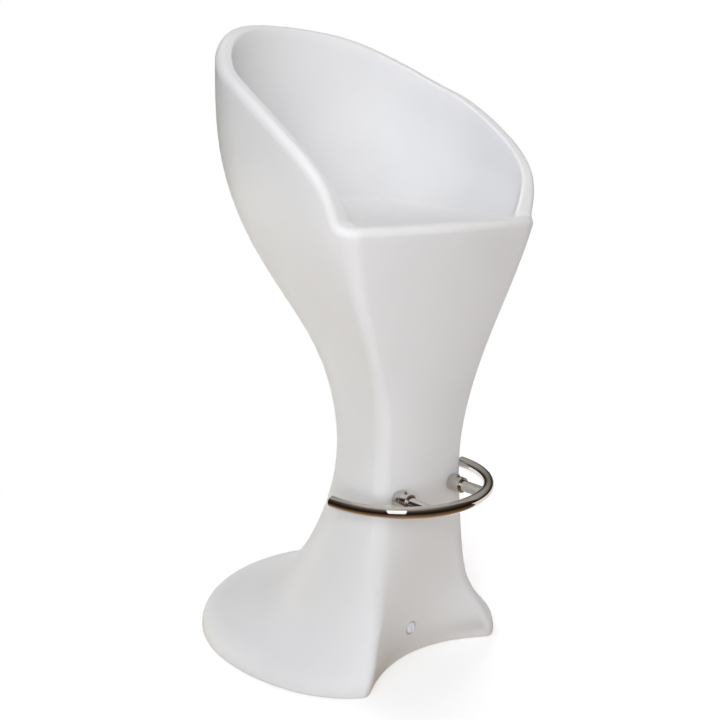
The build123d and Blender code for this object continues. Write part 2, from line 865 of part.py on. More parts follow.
cradle_room = cell_length + contact_thickness * 2
cradle_width = cradle_room + cradle_end * 2
cradle_depth = cell_radius * 4 + cell_gap + cradle_side * 2
with BuildPart() as battery_cradle:
    with BuildSketch(Plane.XY.offset(tray_inside)):
        with Locations((0, cell_y)):
            Rectangle(cradle_width, cradle_depth)
    extrude(amount=cradle_height)
    with BuildSketch(Plane.YZ.offset(-cradle_room / 2)):
        with Locations(*[(y, cell_z) for y in cell_places]):
            Circle(cell_radius + fit_gap)
        with Locations(*[(y, cell_z + cell_radius) for y in cell_places]):
            Rectangle((cell_radius + fit_gap) * 2, cell_radius * 2)
    extrude(amount=cradle_room, mode=Mode.SUBTRACT)
    with BuildSketch(Plane.XY.offset(tray_inside + contact_lift)):
        with Locations((0, cell_y)):
            Rectangle(cradle_room, contact_width + fit_gap * 2)
            Rectangle(cell_length, contact_width + fit_gap * 2, mode=Mode.SUBTRACT)
    extrude(amount=cradle_height, mode=Mode.SUBTRACT)
battery_cradle.part.label = "battery_cradle"

contact_x = (cell_length + contact_thickness) / 2
contact_top = tray_inside + contact_lift + contact_height
with BuildPart() as cell_contacts:
    with BuildSketch(Plane.XY.offset(tray_inside + contact_lift)):
        with Locations((-contact_x, cell_y), (contact_x, cell_y)):
            Rectangle(contact_thickness, contact_width)
    extrude(amount=contact_height)
cell_contacts.part.label = "cell_contacts"

# Control board with its switch
with BuildPart() as control_board:
    with BuildSketch(Plane.XY.offset(control_bottom)):
        with Locations((0, button_y)):
            Rectangle(control_width, control_depth)
        with Locations(*[(x, y) for x, y, _ in control_places]):
            Circle(board_screw_hole_radius, mode=Mode.SUBTRACT)
    extrude(amount=board_thickness)
control_board.part.label = "control_board"

board_screw = cap_screw(
    board_screw_head_radius,
    board_screw_head_height,
    board_screw_radius,
    board_screw_length,
    board_socket_radius,
    board_socket_depth,
)
control_screw = cap_screw(
    board_screw_head_radius,
    board_screw_head_height,
    board_screw_radius,
    control_screw_length,
    board_socket_radius,
    board_socket_depth,
)
with BuildPart() as board_screws:
    with Locations(*[Location((x, y, led_board_top), (180, 0, 0)) for x, y, _ in post_places]):
        add(board_screw)
    with Locations(*[Location((x, y, control_top), (180, 0, 0)) for x, y, _ in control_places]):
        add(control_screw)
board_screws.part.label = "board_screws"

connector_y = button_y - connector_offset
with BuildPart() as control_chips:
    for chip, x in zip(chip_sizes, (-chip_x, chip_x)):
        width, depth, height = chip
        with BuildSketch(Plane.XY.offset(control_top)):
            with Locations((x, button_y + chip_offset)):
                Rectangle(width, depth)
        extrude(amount=height)
    with BuildSketch(Plane.XY.offset(control_top)):
        with Locations((0, connector_y)):
            Rectangle(connector_width, connector_depth)
    extrude(amount=connector_height)
control_chips.part.label = "control_chips"

plunger_room = plunger_inside + button_travel
with BuildPart() as switch_body:
    with BuildSketch(Plane.XY.offset(switch_bottom)):
        with Locations((0, button_y)):
            Rectangle(switch_size, switch_size)
    extrude(amount=switch_height)
    with BuildSketch(Plane.XY.offset(switch_bottom)):
        with Locations((0, button_y)):
            Circle(plunger_radius + running_gap)
    extrude(amount=plunger_room + fit_gap, mode=Mode.SUBTRACT)
switch_body.part.label = "switch_body"

with BuildPart() as switch_plunger:
    with BuildSketch(Plane.XY.offset(plunger_bottom)):
        with Locations((0, button_y)):
            Circle(plunger_radius)
    extrude(amount=plunger_out + plunger_inside)
switch_plunger.part.label = "switch_plunger"

with BuildPart() as power_button:
    with BuildSketch(Plane.XY.offset(tray_bottom - button_proud)):
        with Locations((0, button_y)):
            Circle(button_radius)
    extrude(amount=button_proud + tray_floor)
    fillet(power_button.faces().sort_by(Axis.Z)[0].edges(), button_fillet)
    with BuildSketch(Plane.XY.offset(tray_inside + fit_gap)):
        with Locations((0, button_y)):
            Circle(button_collar_radius)
    extrude(amount=button_collar - fit_gap)
    with BuildSketch(Plane.XY.offset(tray_inside)):
        with Locations((0, button_y)):
            Circle(button_stem_radius)
    extrude(amount=button_collar + button_stem)
power_button.part.label = "power_button"

# Charging socket in the front panel, with its plug
socket_plane = Plane((charge_x, charge_y, charge_height), x_dir=(1, 0, 0), z_dir=(0, -1, 0))
with BuildPart() as charge_bezel:
    with BuildSketch(socket_plane):
        Circle(bezel_radius)
    extrude(amount=bezel_thickness)
    with BuildSketch(socket_plane):
        Circle(bezel_barrel_radius)
    extrude(amount=-bezel_barrel_length)
    with BuildSketch(socket_plane):
        Circle(jack_radius + fit_gap)
    extrude(amount=-bezel_barrel_length, mode=Mode.SUBTRACT)
    with BuildSketch(socket_plane):
        Circle(bezel_mouth_radius)
    extrude(amount=bezel_thickness, mode=Mode.SUBTRACT)
    chamfer(charge_bezel.edges().group_by(Axis.Y)[0].sort_by(SortBy.RADIUS)[-1], bezel_chamfer)
charge_bezel.part.label = "charge_bezel"

with BuildPart() as charge_nut:
    with BuildSketch(socket_plane.offset(-charge_boss_depth)):
        RegularPolygon(charge_nut_radius, 6)
        Circle(bezel_barrel_radius + fit_gap, mode=Mode.SUBTRACT)
    extrude(amount=-charge_nut_thickness)
charge_nut.part.label = "charge_nut"

with BuildPart() as charge_jack:
    with BuildSketch(socket_plane):
        Circle(jack_radius)
        Circle(jack_bore_radius, mode=Mode.SUBTRACT)
    extrude(amount=-jack_bore_depth)
    with BuildSketch(socket_plane.offset(-jack_length)):
        Circle(jack_radius)
    extrude(amount=jack_length - jack_bore_depth)
    with BuildSketch(socket_plane.offset(-jack_bore_depth)):
        Circle(jack_pin_radius)
    extrude(amount=jack_pin_length)
charge_jack.part.label = "charge_jack"

cap_plane = socket_plane.offset(bezel_thickness + fit_gap)
rib_angle = radians(plug_rib_turn)
rib_plane = Plane(cap_plane.origin, x_dir=(cos(rib_angle), 0, sin(rib_angle)), z_dir=(0, -1, 0))
with BuildPart() as charge_plug:
    with BuildSketch(cap_plane):
        Circle(plug_cap_radius)
    extrude(amount=plug_cap_thickness)
    fillet(charge_plug.faces().sort_by(Axis.Y)[0].edges(), plug_cap_fillet)
    with BuildSketch(rib_plane):
        with GridLocations(plug_rib_spacing, 0, 2, 1):
            RectangleRounded(plug_rib_width, plug_rib_length, plug_rib_width * rib_corner_share)
    extrude(amount=plug_cap_thickness + plug_rib_height)
    fillet(charge_plug.faces().group_by(Axis.Y)[0].edges(), plug_rib_fillet)
    with BuildSketch(cap_plane):
        Circle(plug_stem_radius)
    extrude(amount=-plug_stem_length)
    with BuildSketch(cap_plane.offset(-plug_stem_length)):
        Circle(plug_stem_bore_radius)
    extrude(amount=plug_stem_bore_depth, mode=Mode.SUBTRACT)
charge_plug.part.label = "charge_plug"

# Leads: from the socket through the tray's wall to the control board, from the cells
# to the board, and from the board up to the lights
loop_y = jack_back + lead_down_run
lead_points = [
    (charge_x, jack_back, charge_height),
    (charge_x, loop_y, charge_height),
    (charge_x, loop_y, lead_loop_height),
    (0, loop_y + lead_loop_width, lead_loop_height),
    (0, loop_y + lead_loop_width, lead_wall_z),
    (0, connector_y, lead_wall_z),
    (0, connector_y, control_top + connector_height),
]
with BuildPart() as charge_lead:
    add(cord(lead_points, lead_bend, lead_radius))
charge_lead.part.label = "charge_lead"

wall_outer_y = lamp_y - tray_wall_radius - grommet_gap
groove = tray_wall + grommet_gap * 2
with BuildPart() as lead_grommet:
    with Locations(facing_back(0, wall_outer_y - grommet_flange, lead_wall_z)):
        add(sleeve(grommet_flange_radius, lead_radius + fit_gap, grommet_flange))
    with Locations(facing_back(0, wall_outer_y, lead_wall_z)):
        add(sleeve(grommet_hole_radius, lead_radius + fit_gap, groove))
    with Locations(facing_back(0, wall_outer_y + groove, lead_wall_z)):
        add(sleeve(grommet_flange_radius, lead_radius + fit_gap, grommet_flange))
lead_grommet.part.label = "lead_grommet"

led_lead_y = button_y - led_lead_offset
led_lead_z = control_top + led_lead_swing
with BuildPart() as led_leads:
    for x in (-led_lead_x, led_lead_x):
        led_points = [
            (x, led_lead_y, control_top),
            (x, led_lead_y, led_lead_z),
            (x, led_lead_y - led_lead_swing, led_lead_z + led_lead_swing),
            (x, led_lead_y - led_lead_swing, led_board_bottom),
        ]
        add(cord(led_points, thin_lead_bend, thin_lead_radius))
led_leads.part.label = "led_leads"

cell_lead_y = button_y + cell_lead_offset
cell_lead_z = contact_top + cell_lead_rise
with BuildPart() as cell_leads:
    for side in (-1, 1):
        cell_points = [
            (side * contact_x, cell_y, contact_top),
            (side * contact_x, cell_y, cell_lead_z),
            (side * cell_lead_x, cell_lead_y, cell_lead_z),
            (side * cell_lead_x, cell_lead_y, control_top),
        ]
        add(cord(cell_points, thin_lead_bend, thin_lead_radius))
cell_leads.part.label = "cell_leads"

# One file for each piece
os.makedirs("parts", exist_ok=True)
export_step(shell.part, "parts/shell.step")
export_step(footrest_ring.part, "parts/footrest_ring.step")
export_step(ring_end_caps.part, "parts/ring_end_caps.step")
export_step(footrest_leg_left.part, "parts/footrest_leg_left.step")
export_step(footrest_leg_right.part, "parts/footrest_leg_right.step")
export_step(leg_collar_left.part, "parts/leg_collar_left.step")
export_step(leg_collar_right.part, "parts/leg_collar_right.step")
export_step(leg_bolts.part, "parts/leg_bolts.step")
export_step(leg_inserts.part, "parts/leg_inserts.step")
export_step(grub_screws.part, "parts/grub_screws.step")
export_step(lamp_gasket.part, "parts/lamp_gasket.step")
export_step(lamp_tray.part, "parts/lamp_tray.step")
export_step(lamp_screws.part, "parts/lamp_screws.step")
export_step(lamp_inserts.part, "parts/lamp_inserts.step")
export_step(led_board.part, "parts/led_board.step")
export_step(led_chips.part, "parts/led_chips.step")
export_step(infrared_receiver.part, "parts/infrared_receiver.step")
export_step(lamp_lens.part, "parts/lamp_lens.step")
export_step(battery_cells.part, "parts/battery_cells.step")
export_step(battery_cradle.part, "parts/battery_cradle.step")
export_step(cell_contacts.part, "parts/cell_contacts.step")
export_step(control_board.part, "parts/control_board.step")
export_step(board_screws.part, "parts/board_screws.step")
export_step(control_chips.part, "parts/control_chips.step")
export_step(switch_body.part, "parts/switch_body.step")
export_step(switch_plunger.part, "parts/switch_plunger.step")
export_step(power_button.part, "parts/power_button.step")
export_step(charge_bezel.part, "parts/charge_bezel.step")
export_step(charge_nut.part, "parts/charge_nut.step")
export_step(charge_jack.part, "parts/charge_jack.step")
export_step(charge_plug.part, "parts/charge_plug.step")
export_step(charge_lead.part, "parts/charge_lead.step")
export_step(lead_grommet.part, "parts/lead_grommet.step")
export_step(led_leads.part, "parts/led_leads.step")
export_step(cell_leads.part, "parts/cell_leads.step")
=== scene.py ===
# %% [markdown]
# # A light-up bar stool, dressed from its CAD model
#
# The real stool is one hollow moulding of white, slightly see-through polyethylene. A
# half ring of chromed tube stands in front of its narrow waist as a footrest, and a
# lamp module with a rechargeable battery is screwed into the underside. The CAD model
# already holds every piece at its true place, in metres, with the floor at Z = 0 and
# the front towards -Y. This lesson gives each piece a finish, then sets up the studio
# that the photograph was taken in.

from math import cos, radians, sin

import bpy
from mathutils import Matrix, Vector

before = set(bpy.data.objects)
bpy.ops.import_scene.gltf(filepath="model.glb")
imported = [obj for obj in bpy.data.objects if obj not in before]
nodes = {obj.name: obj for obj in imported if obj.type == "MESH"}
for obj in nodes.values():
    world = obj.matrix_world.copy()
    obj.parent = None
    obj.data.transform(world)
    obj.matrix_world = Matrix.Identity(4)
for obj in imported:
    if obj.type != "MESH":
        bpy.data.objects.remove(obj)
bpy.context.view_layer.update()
print("CAD nodes:", len(nodes))

# %% [markdown]
# ## The camera first
#
# Everything else is judged against the photograph, so the camera comes before any
# finish. Its place and angles were worked out from the outline of the body, the ring of
# the footrest and the base's edge on the floor. They could also be found by eye, by
# moving the camera until the outlines agree, but a perspective this strong changes
# quickly with the distance. A focal length is given in millimetres for a sensor 36 mm
# wide, so a lens of 46.69 mm sees as much as the photograph does.

# %% Place the camera at the photograph's viewpoint
camera_place = Vector((-1.0399, -1.2028, 0.8424))
camera_turn = radians(-41.454)
camera_pitch = radians(12.426)
camera_roll = radians(0.159)
sensor_width_mm = 36.0
lens_mm = 46.69
quarter_turn = radians(90)

camera_data = bpy.data.cameras.new("photo_camera")
camera_data.sensor_width = sensor_width_mm
camera_data.lens = lens_mm
camera = bpy.data.objects.new("photo_camera", camera_data)
bpy.context.collection.objects.link(camera)
turn = Matrix.Rotation(camera_turn, 4, "Z")
tilt = Matrix.Rotation(quarter_turn - camera_pitch, 4, "X")
roll = Matrix.Rotation(camera_roll, 4, "Z")
camera.matrix_world = Matrix.Translation(camera_place) @ turn @ tilt @ roll
bpy.context.scene.camera = camera
print("camera", [round(value, 3) for value in camera.location])

# %% [markdown]
# ## Noise of a known size
#
# No real surface is one flat colour. Every finish here lets its colour, its roughness
# and its height vary a little, and all three come from noise. An image texture would
# have to be unwrapped onto each piece. Noise needs no unwrapping: it is read in the
# object's own coordinates, so it stays on the piece when the view changes, and the size
# of its features is given in metres.

# %% A noise node whose features have a size in metres
all_ways_alike = (1, 1, 1)


def noise(tree, size, detail, stretch=all_ways_alike):
    """Noise whose features are about this many metres across."""
    place = tree.nodes.new("ShaderNodeTexCoord")
    mapping = tree.nodes.new("ShaderNodeMapping")
    mapping.inputs["Scale"].default_value = stretch
    texture = tree.nodes.new("ShaderNodeTexNoise")
    texture.inputs["Scale"].default_value = 1 / size
    texture.inputs["Detail"].default_value = detail
    tree.links.new(place.outputs["Object"], mapping.inputs["Vector"])
    tree.links.new(mapping.outputs["Vector"], texture.inputs["Vector"])
    return texture.outputs["Fac"]


print("noise is ready")

# %% [markdown]
# ## One recipe for every finish
#
# A finish is two colours, a range of roughness and a bump height, each with the size of
# its features. One function takes all of them by name and builds the nodes, so each
# cell below says only what sets its material apart. Values of a noise texture lie
# mostly between 0.35 and 0.65, and that part is spread over the whole range. Colour
# changes slowly on a real piece and its smears and wear are finer, so the roughness
# gets noise with more detail.

# %% Build a finish out of nodes
noise_low = 0.35
noise_high = 0.65
colour_detail = 2.0
roughness_detail = 3.0


def make_finish(
    name,
    colours,
    colour_size,
    roughness,
    roughness_size,
    bump_height,
    bump_size,
    bump_detail=2.0,
    roughness_stretch=all_ways_alike,
    bump_stretch=all_ways_alike,
    metallic=0.0,
):
    """A material with drifting colour, drifting roughness and a bump, in metres."""
    material = bpy.data.materials.new(name)
    material.use_nodes = True
    tree = material.node_tree
    shader = tree.nodes["Principled BSDF"]
    shader.inputs["Metallic"].default_value = metallic

    ramp = tree.nodes.new("ShaderNodeValToRGB")
    ends = ramp.color_ramp.elements
    for end, position, colour in zip(ends, (noise_low, noise_high), colours):
        end.position = position
        end.color = (*colour, 1)
    tree.links.new(noise(tree, colour_size, colour_detail), ramp.inputs["Fac"])
    tree.links.new(ramp.outputs["Color"], shader.inputs["Base Color"])

    span = tree.nodes.new("ShaderNodeMapRange")
    span.inputs["From Min"].default_value = noise_low
    span.inputs["From Max"].default_value = noise_high
    span.inputs["To Min"].default_value = roughness[0]
    span.inputs["To Max"].default_value = roughness[1]
    wear = noise(tree, roughness_size, roughness_detail, roughness_stretch)
    tree.links.new(wear, span.inputs["Value"])
    tree.links.new(span.outputs["Result"], shader.inputs["Roughness"])

    bump = tree.nodes.new("ShaderNodeBump")
    bump.inputs["Distance"].default_value = bump_height
    grain = noise(tree, bump_size, bump_detail, bump_stretch)
    tree.links.new(grain, bump.inputs["Height"])
    tree.links.new(bump.outputs["Normal"], shader.inputs["Normal"])
    return material


print("finishes read noise from", noise_low, "to", noise_high)

# %% [markdown]
# ## Light under the skin
#
# The plastics that let light in need three more values: how much of the light goes in,
# how deep it spreads, and how that differs between red, green and blue. With equal
# values for the three colours a small clear piece gets no coloured fringes. The finish
# then goes onto a piece by its name, because the CAD model has named every piece
# already.

# %% Let light into a finish, and put a finish on pieces


def let_light_in(finish, weight, depth, colours=(1.0, 1.0, 1.0)):
    """Light spreads under the skin, this many metres deep in each colour."""
    shader = finish.node_tree.nodes["Principled BSDF"]
    shader.inputs["Subsurface Weight"].default_value = weight
    shader.inputs["Subsurface Radius"].default_value = colours
    shader.inputs["Subsurface Scale"].default_value = depth


def dress(finish, *names):
    """Puts a finish on CAD nodes."""
    for name in names:
        for slot in nodes[name].material_slots:
            slot.material = finish
    print(finish.name, "on", ", ".join(names))


print("finishes can go onto", len(nodes), "nodes")

# %% [markdown]
# ## The moulded body
#
# The body is rotationally moulded polyethylene, about 4 mm thick and left in its
# natural milky white so that the lamp inside can shine through it. Its skin copies the
# blasted steel of the mould: a satin surface with a very fine grain. Light goes a
# little way in before it comes back out, which softens every shadow. Plain white paint
# would look like plaster here, and glass would show the inside. Subsurface scattering
# with a weak fine bump gives the satin grain. The milky colour is almost neutral, with
# a trace of blue.

# %% Milky polyethylene for the body
milky_plastic = make_finish(
    "milky_polyethylene",
    colours=((0.80, 0.80, 0.815), (0.83, 0.83, 0.84)),
    colour_size=0.18,
    roughness=(0.38, 0.48),
    roughness_size=0.02,
    bump_height=0.00012,
    bump_size=0.0016,
    bump_detail=3.0,
)
let_light_in(milky_plastic, weight=0.35, depth=0.012, colours=(1.0, 0.95, 0.9))
dress(milky_plastic, "shell")

# %% [markdown]
# ## Chromed tube
#
# The footrest is steel tube, bent and then chromed. Chrome is a mirror, so what it
# shows is the studio. Polished chrome on tube still keeps the faint ripple of the
# drawing and polishing, which is what makes its reflections waver. That is a long, very
# low bump. Small changes of roughness stand for wiped marks.

# %% Chrome for the footrest
chrome = make_finish(
    "polished_chrome",
    colours=((0.66, 0.62, 0.58), (0.72, 0.69, 0.65)),
    colour_size=0.05,
    roughness=(0.03, 0.07),
    roughness_size=0.012,
    bump_height=0.0002,
    bump_size=0.03,
    bump_detail=1.0,
    metallic=1.0,
)
dress(
    chrome,
    "footrest_ring",
    "ring_end_caps",
    "footrest_leg_left",
    "footrest_leg_right",
    "grub_screws",
)

# %% [markdown]
# ## Turned collars
#
# The two collars that hold the footrest's legs are turned from bar and only lightly
# polished, so they carry fine rings round their axis, which runs front to back.
# Modelled rings would be far finer than a pixel. Noise squeezed along Y gives them
# instead.

# %% Turned steel for the collars
turned_steel = make_finish(
    "turned_steel",
    colours=((0.60, 0.57, 0.53), (0.70, 0.67, 0.63)),
    colour_size=0.03,
    roughness=(0.16, 0.28),
    roughness_size=0.01,
    roughness_stretch=(0.2, 4, 0.2),
    bump_height=0.00003,
    bump_size=0.004,
    bump_stretch=(0.1, 8, 0.1),
    metallic=1.0,
)
dress(turned_steel, "leg_collar_left", "leg_collar_right")

# %% [markdown]
# ## Screws, contacts and inserts
#
# The screws and the battery's contacts are zinc plated, a dull bluish grey whose
# crystals are a few millimetres across at most. The threaded inserts moulded into the
# body are turned brass. Both are the recipe for a metal with other colours and finer
# features.

# %% Metals of the small pieces
zinc = make_finish(
    "zinc_plate",
    colours=((0.55, 0.55, 0.56), (0.66, 0.66, 0.66)),
    colour_size=0.004,
    roughness=(0.25, 0.42),
    roughness_size=0.002,
    bump_height=0.00002,
    bump_size=0.0006,
    metallic=1.0,
)
dress(zinc, "leg_bolts", "lamp_screws", "board_screws", "cell_contacts")

brass = make_finish(
    "turned_brass",
    colours=((0.70, 0.52, 0.24), (0.80, 0.62, 0.32)),
    colour_size=0.005,
    roughness=(0.2, 0.34),
    roughness_size=0.002,
    bump_height=0.00003,
    bump_size=0.0008,
    metallic=1.0,
)
dress(brass, "leg_inserts", "lamp_inserts")

# %% [markdown]
# ## Hard plastics
#
# The lamp's tray is the same white as the body but opaque, so no light goes into it.
# The ring round the charging socket is frosted. Its grey, darker than the body, is
# painted shade that stands for the dark halo of the recess round the plug. Black parts
# are never
# fully black: a mould's blasted surface scatters some light. The lens over the lights
# is opal, so it scatters more than the body does.

# %% White plastic, and a socket ring painted darker as shade
white_plastic = make_finish(
    "white_moulded_plastic",
    colours=((0.76, 0.76, 0.77), (0.80, 0.80, 0.81)),
    colour_size=0.03,
    roughness=(0.34, 0.46),
    roughness_size=0.006,
    bump_height=0.00004,
    bump_size=0.0008,
)
dress(white_plastic, "lamp_tray", "charge_nut", "switch_plunger")

# Painted shade: the socket ring's darker grey stands for the shadow in the recess round
# the plug.
socket_ring_painted_shade = make_finish(
    "socket_ring_painted_shade_finish",
    colours=((0.44, 0.44, 0.46), (0.50, 0.50, 0.52)),
    colour_size=0.006,
    roughness=(0.38, 0.52),
    roughness_size=0.003,
    bump_height=0.00003,
    bump_size=0.0008,
)
dress(socket_ring_painted_shade, "charge_bezel")

# %% Black plastic and the opal lens
black_plastic = make_finish(
    "black_moulded_plastic",
    colours=((0.012, 0.012, 0.013), (0.022, 0.022, 0.024)),
    colour_size=0.01,
    roughness=(0.38, 0.55),
    roughness_size=0.003,
    bump_height=0.00003,
    bump_size=0.0006,
)
dress(
    black_plastic,
    "infrared_receiver",
    "battery_cradle",
    "control_chips",
    "switch_body",
    "charge_jack",
)

lens_plastic = make_finish(
    "opal_lens",
    colours=((0.84, 0.84, 0.84), (0.88, 0.88, 0.88)),
    colour_size=0.02,
    roughness=(0.25, 0.36),
    roughness_size=0.004,
    bump_height=0.00003,
    bump_size=0.001,
)
let_light_in(lens_plastic, weight=0.4, depth=0.004)
dress(lens_plastic, "lamp_lens")

# %% [markdown]
# ## Soft plastics and rubber
#
# The plug in the charging socket is soft and milky clear, so a little light goes into
# it. The button, the gasket and the sheaths of the leads are rubber, duller than hard
# plastic and with a wider highlight. A higher roughness is all that this takes.

# %% The plug and the button
clear_rubber = make_finish(
    "milky_clear_rubber",
    colours=((0.68, 0.68, 0.72), (0.76, 0.76, 0.80)),
    colour_size=0.004,
    roughness=(0.18, 0.32),
    roughness_size=0.002,
    bump_height=0.00005,
    bump_size=0.0012,
)
let_light_in(clear_rubber, weight=0.3, depth=0.001)
dress(clear_rubber, "charge_plug")

grey_rubber = make_finish(
    "grey_button_rubber",
    colours=((0.24, 0.25, 0.27), (0.30, 0.31, 0.33)),
    colour_size=0.003,
    roughness=(0.52, 0.7),
    roughness_size=0.002,
    bump_height=0.00004,
    bump_size=0.0005,
)
dress(grey_rubber, "power_button")

# %% The gasket and the leads
black_rubber = make_finish(
    "black_rubber",
    colours=((0.014, 0.014, 0.014), (0.03, 0.03, 0.03)),
    colour_size=0.008,
    roughness=(0.55, 0.8),
    roughness_size=0.003,
    bump_height=0.00005,
    bump_size=0.0007,
)
dress(black_rubber, "lamp_gasket", "lead_grommet", "charge_lead")

red_sheath = make_finish(
    "red_lead_sheath",
    colours=((0.42, 0.03, 0.02), (0.52, 0.05, 0.03)),
    colour_size=0.01,
    roughness=(0.42, 0.6),
    roughness_size=0.004,
    bump_height=0.00003,
    bump_size=0.0008,
)
dress(red_sheath, "led_leads", "cell_leads")

# %% [markdown]
# ## Boards, light chips and cells
#
# Inside the lamp, the two boards have a white solder mask that throws the light
# outwards, the light chips are covered in yellow gel, and each battery cell sits in a
# blue sleeve that has shrunk onto it and wrinkled a little round its middle. The
# wrinkles are a bump stretched along the cell.

# %% The inside of the lamp
board_mask = make_finish(
    "white_solder_mask",
    colours=((0.70, 0.71, 0.69), (0.77, 0.78, 0.76)),
    colour_size=0.006,
    roughness=(0.28, 0.45),
    roughness_size=0.002,
    bump_height=0.00002,
    bump_size=0.0015,
)
dress(board_mask, "led_board", "control_board")

chip_gel = make_finish(
    "yellow_light_chip",
    colours=((0.80, 0.66, 0.18), (0.88, 0.76, 0.30)),
    colour_size=0.0015,
    roughness=(0.18, 0.34),
    roughness_size=0.001,
    bump_height=0.00002,
    bump_size=0.0006,
)
dress(chip_gel, "led_chips")

cell_sleeve = make_finish(
    "blue_cell_sleeve",
    colours=((0.02, 0.08, 0.28), (0.03, 0.11, 0.36)),
    colour_size=0.01,
    roughness=(0.24, 0.4),
    roughness_size=0.005,
    bump_height=0.00008,
    bump_size=0.006,
    bump_stretch=(3, 0.4, 0.4),
)
dress(cell_sleeve, "battery_cells")

# %% [markdown]
# ## The studio floor
#
# The photograph shows a white floor that runs into a white background without an edge,
# with only a soft shadow close to the base. The floor here is one flat sheet of plain
# diffuse paint, so it keeps the stool's shadow.

# %% A flat floor
floor_half = 30.0
floor_mesh = bpy.data.meshes.new("floor")
floor_mesh.from_pydata(
    [
        (-floor_half, -floor_half, 0),
        (floor_half, -floor_half, 0),
        (floor_half, floor_half, 0),
        (-floor_half, floor_half, 0),
    ],
    [],
    [(0, 1, 2, 3)],
)
floor = bpy.data.objects.new("floor", floor_mesh)
bpy.context.collection.objects.link(floor)
print("floor spans", [round(side, 1) for side in floor.dimensions])

# %% [markdown]
# ## Which rays see the white
#
# A Light Path node says what kind of ray has arrived at a surface. Camera, glossy and
# transmission rays bring a thing to the viewer, straight or by way of a mirror or a
# glass. Diffuse rays carry its light to other surfaces. Whatever is added for the first
# three alone makes the floor and the background look white without lighting the stool.

# %% Tell the viewer's rays from the rest


def seen_by_viewer(tree):
    """One for camera, glossy and transmission rays, and zero for the rest."""
    path = tree.nodes.new("ShaderNodeLightPath")
    result = path.outputs["Is Camera Ray"]
    for name in ("Is Glossy Ray", "Is Transmission Ray"):
        either = tree.nodes.new("ShaderNodeMath")
        either.operation = "MAXIMUM"
        tree.links.new(result, either.inputs[0])
        tree.links.new(path.outputs[name], either.inputs[1])
        result = either.outputs["Value"]
    return result


print("the viewer's rays are camera, glossy and transmission rays")

# %% [markdown]
# ## Fading with the distance
#
# Some way out the floor has to change from paint to pure white, and a hard edge there
# would show. A smooth step between two distances hides the change. The distance is
# measured from the floor's own origin, which is under the stool.

# %% A distance, a smooth step and a product


def distance_from_stool(tree):
    """Distance in metres from the object's own origin, which is under the stool."""
    place = tree.nodes.new("ShaderNodeTexCoord")
    length = tree.nodes.new("ShaderNodeVectorMath")
    length.operation = "LENGTH"
    tree.links.new(place.outputs["Object"], length.inputs[0])
    return length.outputs["Value"]


def ease(tree, value, low, high):
    """Runs smoothly from zero to one while the value goes from low to high."""
    span = tree.nodes.new("ShaderNodeMapRange")
    span.interpolation_type = "SMOOTHSTEP"
    span.inputs["From Min"].default_value = low
    span.inputs["From Max"].default_value = high
    tree.links.new(value, span.inputs["Value"])
    return span.outputs["Result"]


def times(tree, first, second):
    """The product of a socket and a socket or a number."""
    product = tree.nodes.new("ShaderNodeMath")
    product.operation = "MULTIPLY"
    tree.links.new(first, product.inputs[0])
    if isinstance(second, float):
        product.inputs[1].default_value = second
    else:
        tree.links.new(second, product.inputs[1])
    return product.outputs["Value"]


def empty_material(name):
    """A material with nothing but its output."""
    material = bpy.data.materials.new(name)
    material.use_nodes = True
    tree = material.node_tree
    tree.nodes.clear()
    return material, tree, tree.nodes.new("ShaderNodeOutputMaterial")


print("studio helpers are ready")

# %% [markdown]
# ## Floor paint
#
# Near the stool the paint is diffuse, with a little light of its own for the viewer's
# rays, so that the open floor comes out white and the contact shadow stays. Further out
# it turns into pure white, because a lamplit floor would grow darker towards its far
# edge and show a horizon. For diffuse rays the paint is a warm grey: the real stool
# stood on a brown floor, whitened out of the picture, and the lowest parts of its body
# are warm from it.

# %% Paint that keeps the shadow and fades to white
paint_for_viewer = (0.95, 0.95, 0.95, 1)
paint_for_stool = (0.45, 0.40, 0.34, 1)
own_light = 0.28
fade_start = 0.45
fade_end = 1.1

floor_paint, floor_tree, floor_surface = empty_material("white_floor")
floor_path = floor_tree.nodes.new("ShaderNodeLightPath")
paint_tone = floor_tree.nodes.new("ShaderNodeMix")
paint_tone.data_type = "RGBA"
paint_tone.inputs["A"].default_value = paint_for_viewer
paint_tone.inputs["B"].default_value = paint_for_stool
diffuse = floor_tree.nodes.new("ShaderNodeBsdfDiffuse")
glow = floor_tree.nodes.new("ShaderNodeEmission")
lit_floor = floor_tree.nodes.new("ShaderNodeAddShader")
pure_white = floor_tree.nodes.new("ShaderNodeEmission")
near_or_far = floor_tree.nodes.new("ShaderNodeMixShader")

seen = seen_by_viewer(floor_tree)
faded = ease(floor_tree, distance_from_stool(floor_tree), fade_start, fade_end)
link = floor_tree.links.new
link(floor_path.outputs["Is Diffuse Ray"], paint_tone.inputs["Factor"])
link(paint_tone.outputs["Result"], diffuse.inputs["Color"])
link(times(floor_tree, seen, own_light), glow.inputs["Strength"])
link(diffuse.outputs["BSDF"], lit_floor.inputs[0])
link(glow.outputs["Emission"], lit_floor.inputs[1])
link(times(floor_tree, seen, faded), near_or_far.inputs["Fac"])
link(lit_floor.outputs["Shader"], near_or_far.inputs[1])
link(pure_white.outputs["Emission"], near_or_far.inputs[2])
link(near_or_far.outputs["Shader"], floor_surface.inputs["Surface"])
floor_mesh.materials.append(floor_paint)
print("floor fades to white from", fade_start, "to", fade_end, "m")

# %% [markdown]
# ## The world
#
# Above the floor there is only the world. At a strength of 1 it is white to the
# viewer's rays. A white world would light the stool evenly from all sides and flatten
# it, so for diffuse rays it is almost dark and the lamps do the lighting.

